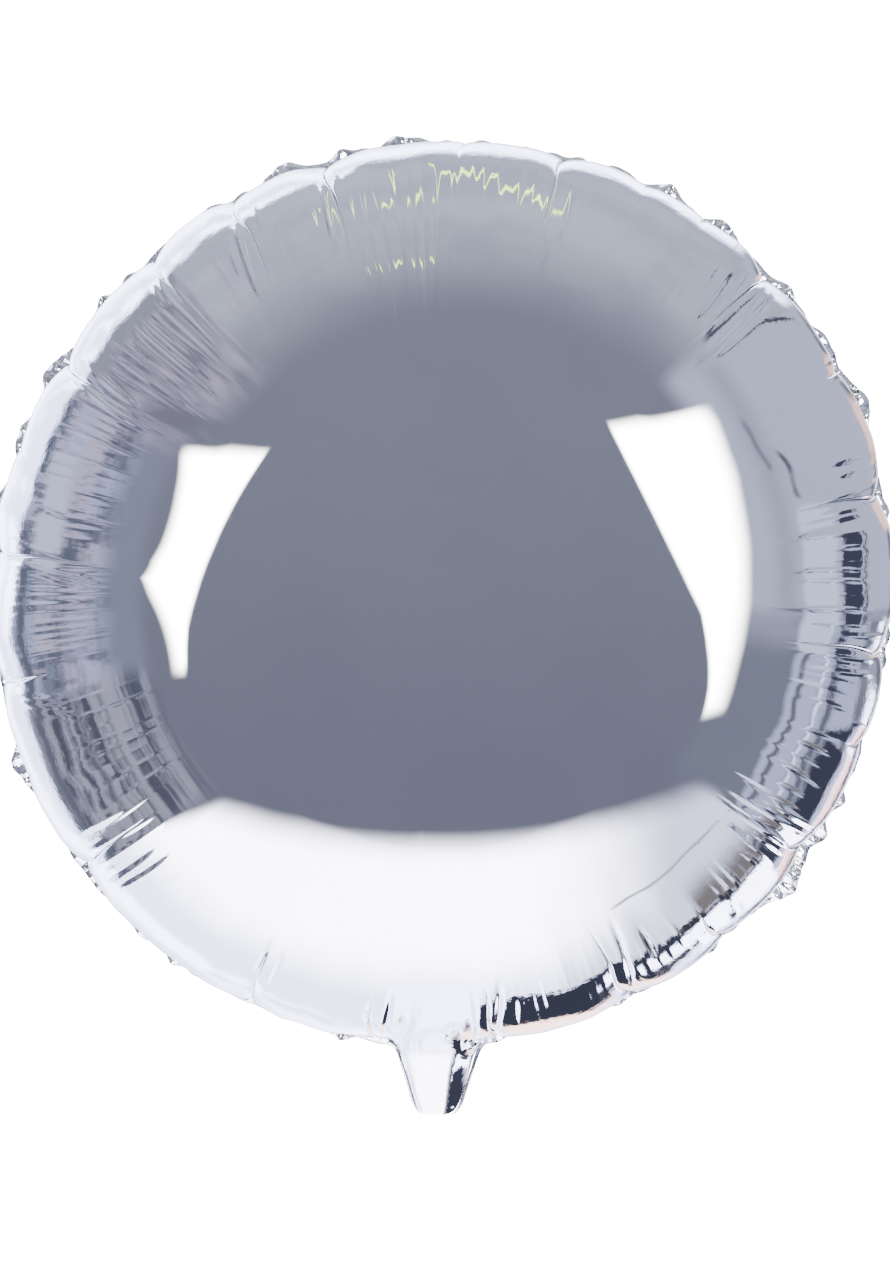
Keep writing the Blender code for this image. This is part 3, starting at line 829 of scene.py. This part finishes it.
def make_studio(context):
    """The studio that the foil mirrors, as light by direction.

    Places are where a smooth globe would mirror that light to the camera, in hundredths of the globe's radius
    from its middle, to the right and up.
    """
    world = bpy.data.worlds.new("studio")
    context.scene.world = world
    world.cycles.sampling_method = "NONE"
    world.use_nodes = True
    tree = world.node_tree
    tree.nodes.clear()
    nodes = Nodes(tree)
    direction = nodes.node("ShaderNodeTexCoord", output=0)
    split = tree.nodes.new("ShaderNodeSeparateXYZ")
    nodes.set(split.inputs[0], direction)
    dx, dy, dz = (Wire(nodes, out) for out in split.outputs)
    flat = (dx * dx + dz * dz).math("SQRT").math("MAXIMUM", 0.0001)
    reach = ((dy + 1) * 0.5).math("MAXIMUM", 0.0) ** 0.25 * 100
    x = dx / flat * reach
    z = dz / flat * reach
    right = dx / flat
    up = dz / flat
    soft = nodes.noise(direction, 2.5, 3.0)

    def zone(centre, half, low, high, tone, edge=1.2, turn=2.5, slant=0.0, fade=None):
        """Paint a patch: azimuth of its middle, half its angle, and its inner and outer reach."""
        nonlocal colour
        cosine, sine = cos(radians(centre)), sin(radians(centre))
        facing = right * cosine + up * sine
        place = reach + (up * cosine - right * sine) * slant if slant else reach
        fade = fade or edge
        inside = facing.rise(cos(radians(half + turn)), cos(radians(max(half - turn, 0.1))))
        inside = inside * place.rise(low - fade, low + fade)
        if high < 100:
            inside = inside * place.rise(high + edge, high - edge)
        colour = nodes.mix(inside, colour, tone if isinstance(tone, Wire) else lit(*tone))

    def blend(share, low, high):
        """From one picture colour to another."""
        return nodes.mix(share, lit(*low), lit(*high))

    def pattern(x, y, z, detail, roughness):
        """Noise that is stretched along the walls."""
        place = nodes.node("ShaderNodeCombineXYZ", {}, {0: x, 1: y, 2: z})
        return nodes.noise(place, 1.0, detail, roughness)

    # The room behind the camera: grey-blue, lighter towards its pale ceiling.
    colour = blend(z.rise(-55, 55), (115, 119, 138), (127, 131, 148))
    ceiling = blend(soft.rise(0.35, 0.65), (172, 175, 186), (180, 183, 192))
    colour = nodes.mix((reach - right * 3).rise(60, 84) * up.rise(0.62, 0.74), colour, ceiling)
    # Shelves along the left wall: rows of things, plain at the top and in bands lower down.
    rows = pattern(reach * 0.42, up * 2.2, 0.0, 3.0, 0.55)
    things = pattern(reach * 0.13, up * 9, right * 5, 3.0, 0.6)
    streaks = pattern(reach * 0.05, up * 14, right * 14, 2.0, 0.6)
    tint = blend(soft.rise(0.42, 0.58), (168, 174, 192), (178, 176, 190))
    shelf = nodes.mix(things.rise(0.36, 0.60), lit(100, 106, 128), tint)
    shelf = nodes.mix(reach.rise(77, 70), shelf, lit(133, 138, 157))
    banded = blend(rows.rise(0.38, 0.60), (84, 88, 108), (160, 161, 175))
    zone(172, 25, 66, 110, shelf, edge=2)
    pinkish = blend(streaks.rise(0.34, 0.64), (124, 124, 142), (174, 171, 185))
    zone(140, 9, 64, 88.5, pinkish, edge=2, turn=6, fade=5)
    zone(140, 9, 88.5, 110, (150, 153, 169), edge=2)
    zone(207, 13, 67, 110, banded, edge=3, turn=3)
    zone(167, 8, 83.5, 89.5, (182, 185, 198), slant=6)
    zone(196, 22, 90.5, 92.6, (104, 108, 128), edge=0.7)
    # The right wall, with a lit shelf and a doorway.
    zone(-4, 9, 65, 110, (160, 163, 178), edge=2.5, turn=7)
    zone(20, 23.5, 65.5, 110, (175, 178, 191), edge=2.5)
    zone(12, 30, 72, 76, (163, 166, 180), edge=2.5)
    zone(-23, 14, 64, 110, (122, 127, 145), edge=2.5, turn=5)
    zone(-23, 14.5, 78, 84.4, (174, 178, 194), edge=0.8, slant=2)
    zone(-23, 14.5, 84.8, 88.6, (172, 176, 191), edge=0.6, slant=2)
    zone(-23, 14.5, 79.6, 80.8, (112, 116, 134), edge=0.5, slant=3)
    zone(-24, 12, 86.8, 88.4, (108, 112, 130), edge=0.6, slant=2)
    zone(-23, 14.5, 84.6, 85.2, (206, 209, 220), edge=0.4, slant=2)
    zone(0.5, 12, 77.5, 85, (188, 191, 204), edge=0.8, turn=1.5)
    zone(0.5, 12, 86.4, 92.4, (60, 64, 88), edge=0.5, turn=1.5)
    zone(0.5, 12, 91.2, 91.8, (176, 180, 194), edge=0.3, turn=1.5)
    zone(-31, 11, 89.5, 95.8, (56, 60, 82), edge=0.5, slant=-2)
    zone(-14.5, 5, 88.5, 94, (174, 178, 193), edge=0.6)
    zone(20, 4, 77.2, 78.2, (96, 100, 120), edge=0.5, turn=1.5, slant=10)
    zone(24.5, 5, 73.4, 74.2, (124, 128, 146), edge=0.6, turn=1.5, slant=6)
    zone(43.6, 0.3, 77, 91.5, (84, 88, 108), edge=1.5, turn=0.6)
    zone(40, 3.6, 91.4, 94.2, (76, 80, 100), edge=0.7, turn=1.6, slant=38)
    # The white floor, greyer to the right, with a dark skirting behind it.
    floor = z - x * x * 0.0043
    ground = blend(x.rise(18, 52), (247, 247, 250), (207, 208, 218))
    far_ground = blend(x.rise(10, 52), (228, 229, 236), (206, 207, 217))
    ground = nodes.mix(reach.rise(76, 90), ground, far_ground)
    on_floor = (right + reach * 0.0019).rise(-0.626, -0.600) * right.rise(0.82, 0.785)
    colour = nodes.mix(floor.rise(-53, -61.5) * on_floor, colour, ground)
    zone(-51, 10, 77.4, 78, (178, 178, 188), edge=0.3)
    # White paper behind the balloon; to its right the wall runs on, and its own edge is dark. The thin dark
    # band at the outermost reach is painted shade, which the globe's outline mirrors as the shadow in the
    # seam.
    paper = blend(soft.rise(0.4, 0.6), (226, 227, 236), (240, 241, 246))
    sunk = (up * 0.643 - right * 0.766).rise(0.72, 1) * 2.2
    behind = reach - 95.5 - right * 1.4 - up * 0.7 + sunk
    past = behind.rise(-0.8, 0.8) * (1 - right.rise(0.60, 0.74) * up.rise(-0.22, -0.12))
    colour = nodes.mix(past, colour, paper)
    zone(-72, 13, 93.5, 98.8, (236, 229, 228), edge=0.5)
    zone(-72, 14, 89.9, 96.9, (52, 56, 76), edge=0.4, turn=1.5, slant=-4)
    zone(-89, 6.5, 84, 94, (238, 239, 245), edge=0.5, turn=1.5, slant=14)
    zone(-54, 6.5, 89.8, 91.9, (54, 58, 78), edge=0.4, turn=1.5)
    zone(-54, 6.5, 92.2, 95.2, (240, 241, 247), edge=0.4, turn=1.5)
    zone(-54, 6.5, 95.4, 96.8, (84, 86, 102), edge=0.4, turn=1.5)
    zone(-43, 6.5, 84, 91, (130, 124, 129), edge=0.5, fade=4)
    zone(-43, 6.5, 91.2, 92.2, (66, 68, 86), edge=0.3, turn=1.5)
    zone(-43, 6.5, 92.2, 97.6, (243, 243, 248), edge=0.6, turn=1.5)
    zone(-27, 9, 95.6, 97.2, (196, 197, 210), edge=0.6)
    zone(-27, 9, 97.2, 99, (230, 218, 220), edge=0.4)
    # Painted shade: a thin dark band at the outermost reach, which the globe's outline mirrors as the shadow
    # in the seam's groove.
    zone(-8, 46, 98.3, 99.1, (112, 112, 128), edge=0.3, turn=6)
    zone(21, 8, 97.6, 99.3, (214, 198, 194), edge=0.4, turn=3)
    rim = blend(soft.rise(0.4, 0.6), (214, 214, 222), (226, 226, 232))
    colour = nodes.mix(reach.rise(99, 99.6), colour, rim)
    # Small lamps under the ceiling.
    zone(84, 9, 88, 88.9, (228, 234, 192), edge=0.4, turn=1.5, slant=-26)
    zone(102, 2.6, 84.8, 85.7, (226, 232, 188), edge=0.4, turn=1.2, slant=-40)
    zone(102, 2.2, 70.8, 71.5, (222, 228, 186), edge=0.4, turn=0.9, slant=18)
    # Two soft boxes, one to each side of the camera, with straight fronts that the globe bends.
    side = x - ((z + 16.5) * (z + 16.5) * 0.0075 - 57.1)
    upper = (up - 0.27) * (up - 0.27) * 70 + 61.4
    lower = (up + 0.2) * (up + 0.2) * 70 + 60.5
    outer = upper.math("MINIMUM", lower) - reach
    box = side.rise(0.7, -0.7) * z.rise(-19, -14) * z.rise(33, 29) * outer.rise(-1.6, 1.6)
    colour = nodes.mix(box, colour, lit(255, 255, 255))
    side = x - 68 + ((z + 17) * (z + 17) + 256).math("SQRT") * 0.56
    outer = x - 65 + (z - 2) * (z - 2) * 0.0066
    top = z - x * 0.08
    box = side.rise(-0.7, 0.7) * z.rise(-29, -25) * top.rise(35.5, 31.5) * outer.rise(2.5, -2.5)
    colour = nodes.mix(box, colour, lit(255, 255, 255))
    shine = nodes.node("ShaderNodeBackground", {}, {"Color": colour, "Strength": 1.0})
    plain = nodes.node("ShaderNodeBackground", {}, {"Color": (1.0, 1.0, 1.0), "Strength": 20.0})
    seen = nodes.node("ShaderNodeLightPath", output=0)
    both = nodes.node("ShaderNodeMixShader", {}, {0: seen, 1: shine, 2: plain})
    output = tree.nodes.new("ShaderNodeOutputWorld")
    nodes.set(output.inputs[0], both)


# Height of the camera's sensor in millimetres. The picture is upright, so its height is the longer side.
SENSOR = 36.0


class FOILBALLOON_OT_stage(bpy.types.Operator):
    """Make the pale floor, the soft studio light and the camera"""

    bl_idname = "foil_balloon.stage"
    bl_label = "Stage"

    def execute(self, context):
        sizes = context.scene.foil_balloon_stage
        bpy.ops.object.select_all(action="DESELECT")
        bpy.ops.mesh.primitive_circle_add(
            vertices=96, radius=sizes.floor_radius, fill_type="NGON", location=(0, 0, -sizes.floor_drop))
        floor = context.object
        floor.name = "floor"
        pale, _, shader = new_material("pale_floor")
        shader.inputs["Base Color"].default_value = (0.86, 0.86, 0.87, 1.0)
        shader.inputs["Roughness"].default_value = 0.7
        floor.data.materials.append(pale)
        floor.visible_glossy = False
        make_studio(context)
        camera_data = bpy.data.cameras.new("camera")
        camera_data.sensor_width = SENSOR
        camera_data.lens = SENSOR * sizes.camera_distance / sizes.frame_height
        camera = bpy.data.objects.new("camera", camera_data)
        camera.location = (0.0002, -sizes.camera_distance, -sizes.camera_drop)
        camera.rotation_euler = (radians(90), 0, 0)
        context.scene.collection.objects.link(camera)
        context.scene.camera = camera
        return {"FINISHED"}


OPERATORS = (FOILBALLOON_OT_panels, FOILBALLOON_OT_edge, FOILBALLOON_OT_valve, FOILBALLOON_OT_stage)


class FOILBALLOON_PT_sidebar(bpy.types.Panel):
    """The balloon's operators and sizes in the sidebar"""

    bl_idname = "FOILBALLOON_PT_sidebar"
    bl_label = "Round Foil Balloon"
    bl_space_type = "VIEW_3D"
    bl_region_type = "UI"
    bl_category = "Foil Balloon"

    def draw(self, context):
        for operator in OPERATORS:
            self.layout.operator(operator.bl_idname)
        scene = context.scene
        for group in (scene.foil_balloon_foil, scene.foil_balloon_edge, scene.foil_balloon_stage):
            box = self.layout.box()
            for name in group.__annotations__:
                box.prop(group, name)


CLASSES = (FoilSizes, EdgeSizes, StageSizes, *OPERATORS, FOILBALLOON_PT_sidebar)


def register():
    """Add the classes and the scene's settings."""
    for item in CLASSES:
        bpy.utils.register_class(item)
    bpy.types.Scene.foil_balloon_foil = PointerProperty(type=FoilSizes)
    bpy.types.Scene.foil_balloon_edge = PointerProperty(type=EdgeSizes)
    bpy.types.Scene.foil_balloon_stage = PointerProperty(type=StageSizes)


def unregister():
    """Remove the scene's settings and the classes."""
    del bpy.types.Scene.foil_balloon_stage
    del bpy.types.Scene.foil_balloon_edge
    del bpy.types.Scene.foil_balloon_foil
    for item in reversed(CLASSES):
        bpy.utils.unregister_class(item)


def main():
    """Make every piece and the stage."""
    register()
    bpy.ops.foil_balloon.panels()
    bpy.ops.foil_balloon.edge()
    bpy.ops.foil_balloon.valve()
    bpy.ops.foil_balloon.stage()


if __name__ == "__main__":
    main()
